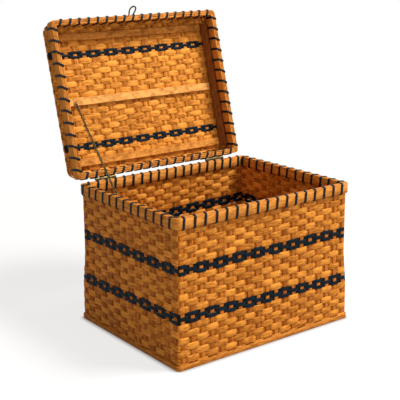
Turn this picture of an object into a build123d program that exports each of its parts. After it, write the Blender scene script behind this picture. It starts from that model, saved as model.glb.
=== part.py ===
"""A woven cane chest with lashed rims and a hinged lid, drawn with the lid open.

Frame: millimetres, origin at the centre of the base's underside, +X to the right,
the front at -Y, the hinges at +Y, +Z up. The lid's own pieces are drawn in the plane
LID, whose x and y are the ones the lid has when it is shut and whose z is the height
above its lip, so that every lid size can be read as if the lid lay closed.
"""

import os
from math import cos, dist, radians, sin

from build123d import *

os.makedirs("parts", exist_ok=True)

# Box, over the rim hoops
BOX_W = 450.0
BOX_D = 352.0
BOX_H = 302.0
RIM_CORNER = 15.0
CORNER_CHORDS = 3

# Rims, the same on the box and on the lid
HOOP_H = 21.0
OUTER_HOOP_T = 3.0
WALL_T = 5.0
INNER_HOOP_T = 4.0
CANE_H = 4.0
CANE_EASE = 1.4
HOOP_EASE = 0.8
RIM_T = OUTER_HOOP_T + WALL_T + INNER_HOOP_T

# Box wall: its outer face beyond the rim's outer face, from the base up
WALL_SWELL = 1.5
WALL_LEVELS = (
    (0.0, WALL_SWELL),
    (15.0, WALL_SWELL),
    (90.0, 1.0),
    (155.0, -OUTER_HOOP_T),
    (BOX_H - CANE_H, -OUTER_HOOP_T),
)
FLOOR_T = 5.0
BASE_STRIP_H = 13.0
BASE_STRIP_T = 3.0

# Dyed weavers, three to a band
BAND_ROWS = 3
BAND_T = 0.8
BOX_BAND_PITCH = 6.5
BOX_BAND_ROW = 6.0
UPPER_BAND_Z = 199.0
LOWER_BAND_Z = 102.0
LID_BAND_PITCH = 5.2
LID_BAND_ROW = 4.8

# Lid, over the rim hoops: smaller than the box both ways, and flush with it at the back
LID_GAP = 4.0
LID_LESS = 8.0
LID_W = BOX_W - LID_LESS
LID_D = BOX_D - LID_LESS
LID_Y = LID_LESS / 2
LID_FRONT_Y = LID_Y - LID_D / 2
LID_BACK_Y = LID_Y + LID_D / 2
LID_RISE = 48.0
LID_EDGE_R = 20.0
LID_LEAN = 3.5
LID_CORNER_SWELL = 6.0
LASH_T = 1.8
LASH_W = 4.0
LASH_SLANT = 4.0
LID_UPRIGHT_Z = HOOP_H + LASH_T + 0.2
FRONT_BAND_Y = LID_FRONT_Y + 72.0
REAR_BAND_Y = LID_BACK_Y - 69.5

# Lashing turns: how many on each side, and how far the end ones stand from the corner
BOX_FRONT_TURNS = (17, 19.4)
BOX_BACK_TURNS = (19, 19.8)
BOX_SIDE_TURNS = (13, 19.4)
LID_LONG_TURNS = (18, 22.95)
LID_SIDE_TURNS = (13, 19.6)


def turn_places(length, turns):
    """Where the lashing turns of one side stand, from the middle of that side."""
    count, end = turns
    pitch = (length - 2 * end) / (count - 1)
    return [(index - (count - 1) / 2) * pitch for index in range(count)]


# Hinges, each set beside a turn of the back rim so that its screws pass between turns
OPEN_ANGLE = 105.5
BARREL_R = 3.2
HINGE_Y = BOX_D / 2 + LASH_T + BARREL_R
HINGE_Z = BOX_H + LID_GAP / 2
BACK_TURNS = turn_places(BOX_W, BOX_BACK_TURNS)
BACK_PITCH = BACK_TURNS[1] - BACK_TURNS[0]
HINGE_X = {
    "left": BACK_TURNS[2] + 0.175 * BACK_PITCH,
    "right": BACK_TURNS[15] + 0.32 * BACK_PITCH,
}
LEAF_L = 50.0
LEAF_H = 22.0
LEAF_T = 1.4
KNUCKLES = 5
KNUCKLE_GAP = 0.3
PIN_R = 1.5
PIN_PLAY = 0.05
PIN_END_PLAY = 0.1
PIN_HEAD_R = 2.4
PIN_HEAD_T = 1.0
SCREW_SPACING = BACK_PITCH + 0.4
SCREW_DROP = 13.0
SCREW_R = 1.1
SCREW_PLAY = 0.05
SCREW_HEAD_R = 2.3
SCREW_HEAD_H = 0.9
SCREW_BITE = 2.6

# Wood inside the lid
BATTEN_T = 6.0
BATTEN_EASE = 0.8
FRONT_BATTEN = (LID_FRONT_Y + 33.4, 15.0)
MIDDLE_BATTEN = (LID_Y + 3.75, 17.5)
REAR_BATTEN = (LID_BACK_Y - 34.5, 16.5)
BATTEN_END_X = LID_W / 2 - 24.0
BLOCK_L = 18.0
BLOCK_JOINT_X = BLOCK_L - BATTEN_END_X
BLOCK_JOINT_GAP = 0.8
LATH_BOTTOM_Z = 23.2
LATH_FOOT_IN = 14.0
LATH_TOP_IN = 20.1
LATH_END_IN = 25.5
LATH_PLAY = 0.25

# Lift loop on the lid's front rim
WIRE_R = 1.3
WIRE_PLAY = 0.05
LOOP_X = -12.0
LOOP_LEG_X = 5.5
LOOP_R = 7.7
LOOP_REACH = 11.0
LOOP_TIP = 6.0
LOOP_Z = HOOP_H / 2

# Stay chain and its eyes
LINK_WIRE = 1.1
LINK_INNER = 5.6
LINK_W = 4.0
LINK_CORNER = 1.3
CHAIN_LINKS = 50
LOWER_LINKS = 21
CHAIN_SAG = 2.5
EYE_R = 3.4
EYE_WIRE_R = 0.8
EYE_STAND_OFF = 0.4
EYE_SHANK_R = 0.9
EYE_BITE = 3.0
EYE_PLAY = 0.05
EYE_TO_LINK = EYE_R - EYE_WIRE_R - 0.15 + LINK_INNER / 2
BOX_EYE_Y = 46.0
BOX_EYE_Z = BOX_H - 9.0
LID_EYE = (BLOCK_JOINT_X + 3.0, MIDDLE_BATTEN[0] + 3.25)

# Derived places
LIP_Z = BOX_H + LID_GAP
PANEL_Z = LID_RISE - WALL_T
OPEN = radians(OPEN_ANGLE)


def opened(y, z):
    """Where a point of the shut lid stands when the lid is open."""
    back, up = y - HINGE_Y, z - HINGE_Z
    return (
        0.0,
        HINGE_Y + back * cos(OPEN) + up * sin(OPEN),
        HINGE_Z - back * sin(OPEN) + up * cos(OPEN),
    )


LID = Plane(origin=opened(0, LIP_Z), x_dir=(1, 0, 0), z_dir=(0, sin(OPEN), cos(OPEN)))


def in_lid(place):
    """A place given in the lid's own frame, as a plane."""
    return Plane(LID.location * place.location)


def rounded_plan(plane, centre_y, width, depth, corner):
    """A rectangle with rounded corners, each corner drawn with a few equal chords."""
    points = []
    for turn, side_x, side_y in ((0, 1, 1), (90, -1, 1), (180, -1, -1), (270, 1, -1)):
        middle_x = side_x * (width / 2 - corner)
        middle_y = centre_y + side_y * (depth / 2 - corner)
        for step in range(CORNER_CHORDS + 1):
            angle = radians(turn + 90 * step / CORNER_CHORDS)
            points.append((middle_x + corner * cos(angle), middle_y + corner * sin(angle)))
    with BuildSketch(plane) as plan:
        Polygon(*points, align=None)
    return plan.sketch


def box_plan(z, out):
    """The box's plan at height z, out beyond the rim's outer faces."""
    plane = Plane.XY.offset(z)
    return rounded_plan(plane, 0, BOX_W + 2 * out, BOX_D + 2 * out, RIM_CORNER + out)


def lid_plan(z, out, corner=None):
    """The lid's plan at height z above its lip, out beyond the rim's outer faces."""
    width, depth = LID_W + 2 * out, LID_D + 2 * out
    return rounded_plan(LID.offset(z), LID_Y, width, depth, corner or RIM_CORNER + out)


def wall_out(z):
    """How far the box wall's outer face stands beyond the rim at height z."""
    for (low, low_out), (high, high_out) in zip(WALL_LEVELS, WALL_LEVELS[1:]):
        if low <= z <= high:
            return low_out + (high_out - low_out) * (z - low) / (high - low)
    raise ValueError(z)


def upright(_):
    """The face of a ring that stands straight up."""
    return 0.0


def ring(plan, low, high, outer, inner, soften=0.0, face=upright):
    """A closed strip following a plan between two offsets from a face, from low to high.
    The edges at the mouth of the box or of the lid are eased."""
    levels = (low, high)
    with BuildPart() as strip:
        loft([plan(z, face(z) + outer) for z in levels], ruled=True)
        loft([plan(z, face(z) + inner) for z in levels], ruled=True, mode=Mode.SUBTRACT)
        if soften:
            faces = strip.faces().sort_by(Axis(LID.origin, LID.z_dir))
            mouth = faces[0]
            if plan is box_plan:
                mouth = strip.faces().sort_by(Axis.Z)[-1]
            chamfer(mouth.edges(), soften)
    return strip.part


def bar(radius, length, sides=6, as_hole=False):
    """A straight bar along +Z. As a hole its flats lie at the radius, so that a bar of
    that radius passes; as a bar its corners do."""
    with BuildPart() as stick:
        with BuildSketch():
            RegularPolygon(radius, sides, major_radius=not as_hole)
        extrude(amount=length)
    return stick.part


def along(place, distance):
    """A place moved along its own Z."""
    return place * Location((0, 0, distance))


def drill(places, radius, depth, sides=6):
    """Tools for holes of one depth, going in against each place's Z from its face."""
    with BuildPart() as tools:
        with Locations(*[along(place, -depth) for place in places]):
            add(bar(radius, 2 * depth, sides, as_hole=True))
    return tools.part


def screw_xs(side):
    """The two screws' places along one hinge."""
    return [HINGE_X[side] + step * SCREW_SPACING / 2 for step in (-1, 1)]


BACKWARDS = (-90, 0, 0)
BOX_SCREWS = [
    Location((x, BOX_D / 2, HINGE_Z - SCREW_DROP), BACKWARDS)
    for side in HINGE_X
    for x in screw_xs(side)
]
LID_SCREWS = [
    LID.location * Location((x, LID_BACK_Y, HINGE_Z - LIP_Z + SCREW_DROP), BACKWARDS)
    for side in HINGE_X
    for x in screw_xs(side)
]

# Box wall: a closed woven skin, open at the top and stood round the floor
with BuildPart() as box_wall:
    loft([box_plan(z, out) for z, out in WALL_LEVELS], ruled=True)
    loft([box_plan(z, out - WALL_T) for z, out in WALL_LEVELS], ruled=True, mode=Mode.SUBTRACT)

# Floor: a woven plate held inside the foot of the wall
with BuildPart() as box_floor:
    extrude(box_plan(0, WALL_SWELL - WALL_T), amount=FLOOR_T)

base_strip = ring(box_plan, 0, BASE_STRIP_H, WALL_SWELL + BASE_STRIP_T, WALL_SWELL, HOOP_EASE)


def box_band(centre):
    """Three dyed weavers round the box, seen on both faces of the wall."""
    with BuildPart() as band:
        for row in range(BAND_ROWS):
            middle = centre + (row - (BAND_ROWS - 1) / 2) * BOX_BAND_PITCH
            low, high = middle - BOX_BAND_ROW / 2, middle + BOX_BAND_ROW / 2
            for outer, inner in ((BAND_T, 0.0), (-WALL_T, -WALL_T - BAND_T)):
                add(ring(box_plan, low, high, outer, inner, face=wall_out))
    return band.part


box_upper_band = box_band(UPPER_BAND_Z)
box_lower_band = box_band(LOWER_BAND_Z)

# Box rim: an outer and an inner hoop clasp the wall, and a cane fills the top between them
HOOP_FOOT = BOX_H - HOOP_H
with BuildPart() as box_outer_hoop:
    add(ring(box_plan, HOOP_FOOT, BOX_H, 0, -OUTER_HOOP_T, HOOP_EASE))
    add(drill(BOX_SCREWS, SCREW_R + SCREW_PLAY, SCREW_BITE + 0.1), mode=Mode.SUBTRACT)

BOX_EYE_X = -BOX_W / 2 + RIM_T + EYE_R + EYE_WIRE_R + EYE_STAND_OFF
with BuildPart() as box_inner_hoop:
    add(ring(box_plan, HOOP_FOOT, BOX_H, -OUTER_HOOP_T - WALL_T, -RIM_T, HOOP_EASE))
    eye_seat = Location((-BOX_W / 2 + RIM_T, BOX_EYE_Y, BOX_EYE_Z), (0, 90, 0))
    add(drill([eye_seat], EYE_SHANK_R + EYE_PLAY, EYE_BITE + 0.2), mode=Mode.SUBTRACT)

box_rim_cane = ring(
    box_plan, BOX_H - CANE_H, BOX_H, -OUTER_HOOP_T, -OUTER_HOOP_T - WALL_T, CANE_EASE
)


def slanted_bar(face, low, high, thickness):
    """One leg of a lashing turn: a leaning bar drawn on a face from low to high."""
    (low_x, low_z), (high_x, high_z) = low, high
    half = LASH_W / 2
    with BuildPart() as bar:
        with BuildSketch(face):
            with BuildLine():
                Polyline(
                    (low_x - half, low_z),
                    (low_x + half, low_z),
                    (high_x + half, high_z),
                    (high_x - half, high_z),
                    close=True,
                )
            make_face()
        extrude(amount=thickness)
    return bar.part


# A lashing turn: it leans up the outer hoop, runs over the rim and leans down the inner
# hoop, ending at the hoops' feet. Origin on the rim's outer top edge, +Y inwards.
LEFT_X, RIGHT_X = -LASH_SLANT / 2, LASH_SLANT / 2
with BuildPart() as lashing_turn:
    add(slanted_bar(Plane.XZ, (LEFT_X, -HOOP_H), (RIGHT_X, 0), LASH_T))
    add(slanted_bar(Plane.XZ.offset(-RIM_T), (LEFT_X, -HOOP_H), (RIGHT_X, 0), -LASH_T))
    with Locations((RIGHT_X, RIM_T / 2, LASH_T / 2)):
        Box(LASH_W, RIM_T + 2 * LASH_T, LASH_T)


def rim_places(width, depth, centre_y, front, back, side):
    """Places of the turns round a rim, x along the rim and y inwards."""
    places = []
    runs = (
        (turn_places(width, front), 0, (0, centre_y - depth / 2), (1, 0)),
        (turn_places(depth, side), 90, (width / 2, centre_y), (0, 1)),
        (turn_places(width, back), 180, (0, centre_y + depth / 2), (-1, 0)),
        (turn_places(depth, side), 270, (-width / 2, centre_y), (0, -1)),
    )
    for steps, turn, (x, y), (along_x, along_y) in runs:
        for step in steps:
            places.append(Location((x + along_x * step, y + along_y * step, 0), (0, 0, turn)))
    return places


def lash(base, places, flip):
    """All turns of one rim, set on the base plane of its edge."""
    flipped = Location((0, 0, 0), (0, flip, 0))
    with BuildPart() as turns:
        with Locations(*[base.location * place * flipped for place in places]):
            add(lashing_turn.part, clean=False)
    return turns.part


box_lashing = lash(
    Plane.XY.offset(BOX_H),
    rim_places(BOX_W, BOX_D, 0, BOX_FRONT_TURNS, BOX_BACK_TURNS, BOX_SIDE_TURNS),
    0,
)


# Lid shell: upright between its hoops, then leaning in and rounded over to the crown.
# Each level holds the height above the lip, the face beyond the rim and the plan's corner.
def lid_levels(inset, rise, edge_r, corner, swell):
    """Levels of one face of the shell, from above the rim cane to the crown."""
    levels = [(CANE_H, -inset, corner), (LID_UPRIGHT_Z, -inset, corner)]
    lean = -inset - LID_LEAN
    for angle in (0, 30, 60, 90):
        turn = radians(angle)
        level = rise - edge_r + edge_r * sin(turn)
        round_off = corner + swell * (1 - cos(turn))
        levels.append((level, lean - edge_r + edge_r * cos(turn), round_off))
    return levels


OUTER_LEVELS = lid_levels(
    OUTER_HOOP_T, LID_RISE, LID_EDGE_R, RIM_CORNER - OUTER_HOOP_T, LID_CORNER_SWELL
)
INNER_LEVELS = lid_levels(
    OUTER_HOOP_T + WALL_T, PANEL_Z, LID_EDGE_R - WALL_T, RIM_CORNER - OUTER_HOOP_T - WALL_T, 0
)


def loop_place(step):
    """Place of one leg of the lift loop on the front rim, pointing inwards."""
    spot = Location((LOOP_X + step, LID_FRONT_Y, LOOP_Z), BACKWARDS)
    return LID.location * spot


loop_holes = drill(
    [loop_place(-LOOP_LEG_X), loop_place(LOOP_LEG_X)], WIRE_R + WIRE_PLAY, RIM_T + 2, 8
)

with BuildPart() as lid_shell:
    loft([lid_plan(*level) for level in OUTER_LEVELS], ruled=True)
    loft([lid_plan(*level) for level in INNER_LEVELS], ruled=True, mode=Mode.SUBTRACT)
    add(loop_holes, mode=Mode.SUBTRACT)

with BuildPart() as lid_outer_hoop:
    add(ring(lid_plan, 0, HOOP_H, 0, -OUTER_HOOP_T, HOOP_EASE))
    add(drill(LID_SCREWS, SCREW_R + SCREW_PLAY, SCREW_BITE + 0.1), mode=Mode.SUBTRACT)
    add(loop_holes, mode=Mode.SUBTRACT)

with BuildPart() as lid_inner_hoop:
    add(ring(lid_plan, 0, HOOP_H, -OUTER_HOOP_T - WALL_T, -RIM_T, HOOP_EASE))
    add(loop_holes, mode=Mode.SUBTRACT)

lid_rim_cane = ring(
    lid_plan, 0, CANE_H, -OUTER_HOOP_T, -OUTER_HOOP_T - WALL_T, CANE_EASE
)

lid_lashing = lash(
    LID,
    rim_places(LID_W, LID_D, LID_Y, LID_LONG_TURNS, LID_LONG_TURNS, LID_SIDE_TURNS),
    180,
)

FLAT_X = LID_W / 2 + OUTER_LEVELS[-1][1]


def lid_band(centre):
    """Three dyed strips across the lid, over the crown outside and on the panel inside."""
    with BuildPart() as band:
        for row in range(BAND_ROWS):
            y = centre + (row - (BAND_ROWS - 1) / 2) * LID_BAND_PITCH
            for z in (LID_RISE, PANEL_Z - BAND_T):
                with BuildSketch(LID.offset(z)):
                    with Locations((0, y)):
                        Rectangle(2 * FLAT_X, LID_BAND_ROW)
                extrude(amount=BAND_T)
    return band.part


lid_front_band = lid_band(FRONT_BAND_Y)
lid_rear_band = lid_band(REAR_BAND_Y)

# Wood inside the lid: battens under the panel, their ends bevelled to the rounded edge
EDGE_X, EDGE_Z = LID_W / 2 + INNER_LEVELS[-2][1], INNER_LEVELS[-2][0]
BEVEL_Z = PANEL_Z - (PANEL_Z - EDGE_Z) * (BATTEN_END_X - FLAT_X) / (EDGE_X - FLAT_X) - 0.1


def batten(centre, width, left=-BATTEN_END_X, right=BATTEN_END_X):
    """A flat bar under the panel from left to right, easing its long edges."""
    bottom = PANEL_Z - BATTEN_T
    outline = [(left, bottom), (right, bottom)]
    if right > FLAT_X:
        outline += [(right, BEVEL_Z), (FLAT_X, PANEL_Z)]
    else:
        outline += [(right, PANEL_Z)]
    if left < -FLAT_X:
        outline += [(-FLAT_X, PANEL_Z), (left, BEVEL_Z)]
    else:
        outline += [(left, PANEL_Z)]
    with BuildPart() as bar:
        with BuildSketch(in_lid(Plane.XZ.offset(-centre))):
            with BuildLine():
                Polyline(*outline, close=True)
            make_face()
        extrude(amount=width / 2, both=True)
        chamfer(bar.edges().filter_by(Axis.X), BATTEN_EASE)
    return bar.part


front_batten = batten(*FRONT_BATTEN)
rear_batten = batten(*REAR_BATTEN)
batten_end_block = batten(*MIDDLE_BATTEN, right=BLOCK_JOINT_X - BLOCK_JOINT_GAP / 2)
with BuildPart() as middle_batten:
    add(batten(*MIDDLE_BATTEN, left=BLOCK_JOINT_X + BLOCK_JOINT_GAP / 2))
    eye_seat = LID.location * Location((*LID_EYE, PANEL_Z - BATTEN_T), (180, 0, 0))
    add(drill([eye_seat], EYE_SHANK_R + EYE_PLAY, EYE_BITE + 0.2), mode=Mode.SUBTRACT)


def end_lath(side):
    """A lath along one end wall, leaning into the rounded edge that it stiffens."""
    half = LID_W / 2
    face = [(half - LATH_FOOT_IN, LATH_BOTTOM_Z), (half - LATH_TOP_IN, EDGE_Z - LATH_PLAY)]
    back = [(half + out - LATH_PLAY, z - LATH_PLAY) for z, out, _ in INNER_LEVELS[4:1:-1]]
    foot = (half + INNER_LEVELS[1][1] - LATH_PLAY, LATH_BOTTOM_Z)
    outline = [*face, *back, foot]
    with BuildPart() as lath:
        with BuildSketch(in_lid(Plane.XZ.offset(-LID_Y))):
            with BuildLine():
                Polyline(*[(side * x, z) for x, z in outline], close=True)
            make_face()
        extrude(amount=LID_D / 2 - LATH_END_IN, both=True)
    return lath.part


left_end_lath = end_lath(-1)
right_end_lath = end_lath(1)


def hinge_leaf(own):
    """A butt hinge leaf hanging down from the pin, with its own knuckles of the row.
    Origin on the pin's axis at mid length, +X along the pin, the plate on the -Y side."""
    pitch = LEAF_L / KNUCKLES
    knuckle = bar(BARREL_R, pitch - KNUCKLE_GAP, 12)
    with BuildPart() as leaf:
        with Locations((0, LEAF_T / 2 - BARREL_R, -LEAF_H / 2)):
            Box(LEAF_L, LEAF_T, LEAF_H)
        for index in range(KNUCKLES):
            start = index * pitch - LEAF_L / 2
            if index in own:
                with Locations(Location((start + KNUCKLE_GAP / 2, 0, 0), (0, 90, 0))):
                    add(knuckle)
            else:
                with Locations((start + pitch / 2, 0, 0)):
                    Box(pitch + KNUCKLE_GAP, 2 * BARREL_R, 2 * BARREL_R + 0.8, mode=Mode.SUBTRACT)
        with Locations(Location((0, 0, 0), (0, 90, 0))):
            Cylinder(PIN_R + PIN_PLAY, LEAF_L + 2, mode=Mode.SUBTRACT)
        seats = [
            Location((step * SCREW_SPACING / 2, LEAF_T - BARREL_R, -SCREW_DROP), BACKWARDS)
            for step in (-1, 1)
        ]
        add(drill(seats, SCREW_R + SCREW_PLAY, 2 * LEAF_T), mode=Mode.SUBTRACT)
    return leaf.part


with BuildPart() as hinge_pin:
    half = LEAF_L / 2 + PIN_END_PLAY
    with Locations(Location((0, 0, 0), (0, 90, 0))):
        Cylinder(PIN_R, 2 * half)
    for start in (-half - PIN_HEAD_T, half):
        with Locations(Location((start, 0, 0), (0, 90, 0))):
            add(bar(PIN_HEAD_R, PIN_HEAD_T, 8))

BOX_LEAF = hinge_leaf((0, 2, 4))
LID_LEAF = hinge_leaf((1, 3))


def hinge_place(side):
    """The middle of one hinge's pin, in the box's frame."""
    return Location((HINGE_X[side], HINGE_Y, HINGE_Z))


def lid_hinge_place(side):
    """The same place in the lid's frame, with the leaf turned to run up the lid's rim."""
    spot = Location((HINGE_X[side], HINGE_Y, HINGE_Z - LIP_Z), (0, 180, 0))
    return LID.location * spot


def placed(solid, place):
    """A copy of a solid set at a place."""
    with BuildPart() as copy:
        with Locations(place):
            add(solid)
    return copy.part


# A hinge screw: a low round head on the leaf and a shank that bites into the hoop.
# Origin on the hoop's outer face, +Z outwards.
LEAF_FACE = LASH_T + LEAF_T
with BuildPart() as hinge_screw:
    with Locations((0, 0, -SCREW_BITE)):
        add(bar(SCREW_R, SCREW_BITE + LEAF_FACE))
    with BuildSketch(Plane.XY.offset(LEAF_FACE)):
        RegularPolygon(SCREW_HEAD_R, 6)
    extrude(amount=SCREW_HEAD_H, taper=40)


def screws(places):
    """All the screws of one rim."""
    with BuildPart() as group:
        with Locations(*places):
            add(hinge_screw.part)
    return group.part


# Lift loop: one wire, its legs through both hoops and its tips turned aside inside
TIP_V = -RIM_T - WIRE_R - 0.1
with BuildPart() as lift_loop:
    loop_face = in_lid(Plane((LOOP_X, LID_FRONT_Y, LOOP_Z), x_dir=(1, 0, 0), z_dir=(0, 0, -1)))
    with BuildLine(loop_face) as wire_path:
        half = [(-LOOP_LEG_X - LOOP_TIP, TIP_V), (-LOOP_LEG_X, TIP_V), (-LOOP_LEG_X, 2.0)]
        for angle in range(0, 90, 30):
            turn = radians(angle)
            half.append((-LOOP_R * cos(turn), LOOP_REACH + LOOP_R * sin(turn)))
        top = [(0, LOOP_REACH + LOOP_R)]
        Polyline(*half, *top, *[(-x, v) for x, v in reversed(half)])
    wire = wire_path.wires()[0]
    with BuildSketch(Plane(wire @ 0, z_dir=wire % 0)):
        RegularPolygon(WIRE_R, 8)
    sweep(path=wire, transition=Transition.RIGHT)

# The two eyes that the chain hangs between
box_eye_at = Vector(BOX_EYE_X, BOX_EYE_Y, BOX_EYE_Z)
LID_EYE_Z = PANEL_Z - BATTEN_T - EYE_R - EYE_WIRE_R - EYE_STAND_OFF
lid_eye_at = Vector(LID.from_local_coords((*LID_EYE, LID_EYE_Z)))
chain_way = (lid_eye_at - box_eye_at).normalized()


def screw_eye(centre, shank_way):
    """A ring in the plane of the chain and its shank, with the shank out to its bite."""
    side = shank_way.cross(chain_way).normalized()
    ring_plane = Plane(centre, x_dir=shank_way, z_dir=side)
    shank_plane = Plane(centre + shank_way * EYE_R, x_dir=side, z_dir=shank_way)
    with BuildPart() as eye:
        with BuildSketch(ring_plane):
            RegularPolygon(EYE_R + EYE_WIRE_R, 12)
            RegularPolygon(EYE_R - EYE_WIRE_R, 12, major_radius=False, mode=Mode.SUBTRACT)
        extrude(amount=EYE_WIRE_R, both=True)
        with Locations(shank_plane.location):
            add(bar(EYE_SHANK_R, EYE_WIRE_R + EYE_STAND_OFF + EYE_BITE))
    return eye.part


chain_box_eye = screw_eye(box_eye_at, Vector(-1, 0, 0))
chain_lid_eye = screw_eye(lid_eye_at, LID.z_dir)

# One link of the chain, a flat ring with cut corners. +X along the chain.
with BuildPart() as link:
    with BuildSketch() as outside:
        Rectangle(LINK_INNER + 2 * LINK_WIRE, LINK_W)
        chamfer(outside.vertices(), LINK_CORNER)
    extrude(amount=LINK_WIRE / 2, both=True)
    with BuildSketch():
        Rectangle(LINK_INNER, LINK_W - 2 * LINK_WIRE)
    extrude(amount=LINK_WIRE / 2, both=True, mode=Mode.SUBTRACT)

span = dist(tuple(box_eye_at), tuple(lid_eye_at))
LINK_PITCH = (span - 2 * EYE_TO_LINK) / (CHAIN_LINKS - 1)


def link_place(index):
    """Place of one link on the sagging line, turned a quarter from the one before."""
    share = (EYE_TO_LINK + index * LINK_PITCH) / span
    sag = 4 * CHAIN_SAG * share * (1 - share)
    slope = 4 * CHAIN_SAG * (1 - 2 * share) / span
    centre = box_eye_at + chain_way * (span * share) - Vector(0, 0, sag)
    way = (chain_way - Vector(0, 0, slope)).normalized()
    across = Vector(1, 0, 0) if index % 2 == 0 else Vector(1, 0, 0).cross(way)
    return Plane(centre, x_dir=way, z_dir=across - way * across.dot(way)).location


def chain(first, last):
    """Links first to last of the chain as one group."""
    with BuildPart() as links:
        with Locations(*[link_place(index) for index in range(first, last)]):
            add(link.part, clean=False)
    return links.part


chain_lower = chain(0, LOWER_LINKS)
chain_upper = chain(LOWER_LINKS, CHAIN_LINKS)

pieces = {
    "box_wall": box_wall.part,
    "box_floor": box_floor.part,
    "base_strip": base_strip,
    "box_upper_band": box_upper_band,
    "box_lower_band": box_lower_band,
    "box_outer_hoop": box_outer_hoop.part,
    "box_inner_hoop": box_inner_hoop.part,
    "box_rim_cane": box_rim_cane,
    "box_lashing": box_lashing,
    "left_hinge_box_leaf": placed(BOX_LEAF, hinge_place("left")),
    "right_hinge_box_leaf": placed(BOX_LEAF, hinge_place("right")),
    "left_hinge_pin": placed(hinge_pin.part, hinge_place("left")),
    "right_hinge_pin": placed(hinge_pin.part, hinge_place("right")),
    "box_hinge_screws": screws(BOX_SCREWS),
    "chain_box_eye": chain_box_eye,
    "lid_shell": lid_shell.part,
    "lid_front_band": lid_front_band,
    "lid_rear_band": lid_rear_band,
    "lid_outer_hoop": lid_outer_hoop.part,
    "lid_inner_hoop": lid_inner_hoop.part,
    "lid_rim_cane": lid_rim_cane,
    "lid_lashing": lid_lashing,
    "front_batten": front_batten,
    "middle_batten": middle_batten.part,
    "rear_batten": rear_batten,
    "batten_end_block": batten_end_block,
    "left_end_lath": left_end_lath,
    "right_end_lath": right_end_lath,
    "left_hinge_lid_leaf": placed(LID_LEAF, lid_hinge_place("left")),
    "right_hinge_lid_leaf": placed(LID_LEAF, lid_hinge_place("right")),
    "lid_hinge_screws": screws(LID_SCREWS),
    "lift_loop": lift_loop.part,
    "chain_lid_eye": chain_lid_eye,
    "chain_lower": chain_lower,
    "chain_upper": chain_upper,
}
for label, solid in pieces.items():
    solid.label = label
    export_step(solid, f"parts/{label}.step")
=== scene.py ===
import random
from math import ceil, cos, pi, radians, sin

import bmesh
import bpy
import numpy as np
from mathutils import Matrix, Vector


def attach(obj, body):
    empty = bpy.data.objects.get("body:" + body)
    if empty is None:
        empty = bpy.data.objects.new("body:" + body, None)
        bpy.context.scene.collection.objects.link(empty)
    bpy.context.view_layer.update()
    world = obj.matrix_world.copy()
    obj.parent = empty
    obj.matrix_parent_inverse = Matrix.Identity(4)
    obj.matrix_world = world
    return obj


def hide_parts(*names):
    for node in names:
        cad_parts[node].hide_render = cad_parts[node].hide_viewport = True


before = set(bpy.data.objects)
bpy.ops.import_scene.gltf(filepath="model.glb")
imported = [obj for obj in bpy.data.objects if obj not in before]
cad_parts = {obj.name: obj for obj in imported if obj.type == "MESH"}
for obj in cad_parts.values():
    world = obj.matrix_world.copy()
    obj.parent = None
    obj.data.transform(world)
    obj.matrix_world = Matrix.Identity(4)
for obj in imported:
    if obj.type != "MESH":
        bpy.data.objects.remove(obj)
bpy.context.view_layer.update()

random.seed(11)
MM = 0.001
scene = bpy.context.scene

# Sizes shared with the CAD, in mm
BOX_W, BOX_D, BOX_H = 450.0, 352.0, 302.0
HOOP_H, OUTER_T, WALL_T, INNER_T, CANE_H = 21.0, 3.0, 5.0, 4.0, 4.0
RIM_T = OUTER_T + WALL_T + INNER_T
WALL_LEVELS = ((0.0, 1.5), (15.0, 1.5), (90.0, 1.0), (155.0, -3.0), (298.0, -3.0))
LID_W, LID_D, LID_Y = 442.0, 344.0, 4.0
LIP_Z, HINGE_Y, HINGE_Z, OPEN = 306.0, 181.0, 304.0, radians(105.5)

# Corners as the photograph shows them, tighter than the CAD's
RIM_CORNER, WALL_CORNER = 9.0, 4.0

# Flat cane strips: thickness, overlap, how far weavers and stakes swing out and in, how much
# painted shade darkens a strip where it dives under a crossing, and how the tones differ
WEAVER_HALF_T, STAKE_HALF_W, STAKE_HALF_T = 0.6, 4.9, 0.65
ROW_OVERLAP = 0.4
AMP, STAKE_SWING, DIVE_SHADE = 1.05, 0.3, 0.45
TONE_SPREAD = 0.32


def lid_point(x, y, h):
    """Where a point of the lid stands when open: x and y as if shut, h above the lip."""
    back, up = y - HINGE_Y, h + LIP_Z - HINGE_Z
    return (x, HINGE_Y + back * cos(OPEN) + up * sin(OPEN), HINGE_Z - back * sin(OPEN) + up * cos(OPEN))


def hang(mesh, material, body, nodes):
    """Put a finished mesh on its body, in place of the CAD nodes that it replaces."""
    mesh.polygons.foreach_set("use_smooth", [True] * len(mesh.polygons))
    mesh.materials.append(material)
    obj = bpy.data.objects.new(mesh.name, mesh)
    scene.collection.objects.link(obj)
    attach(obj, body)
    if nodes:
        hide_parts(*nodes)


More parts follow.
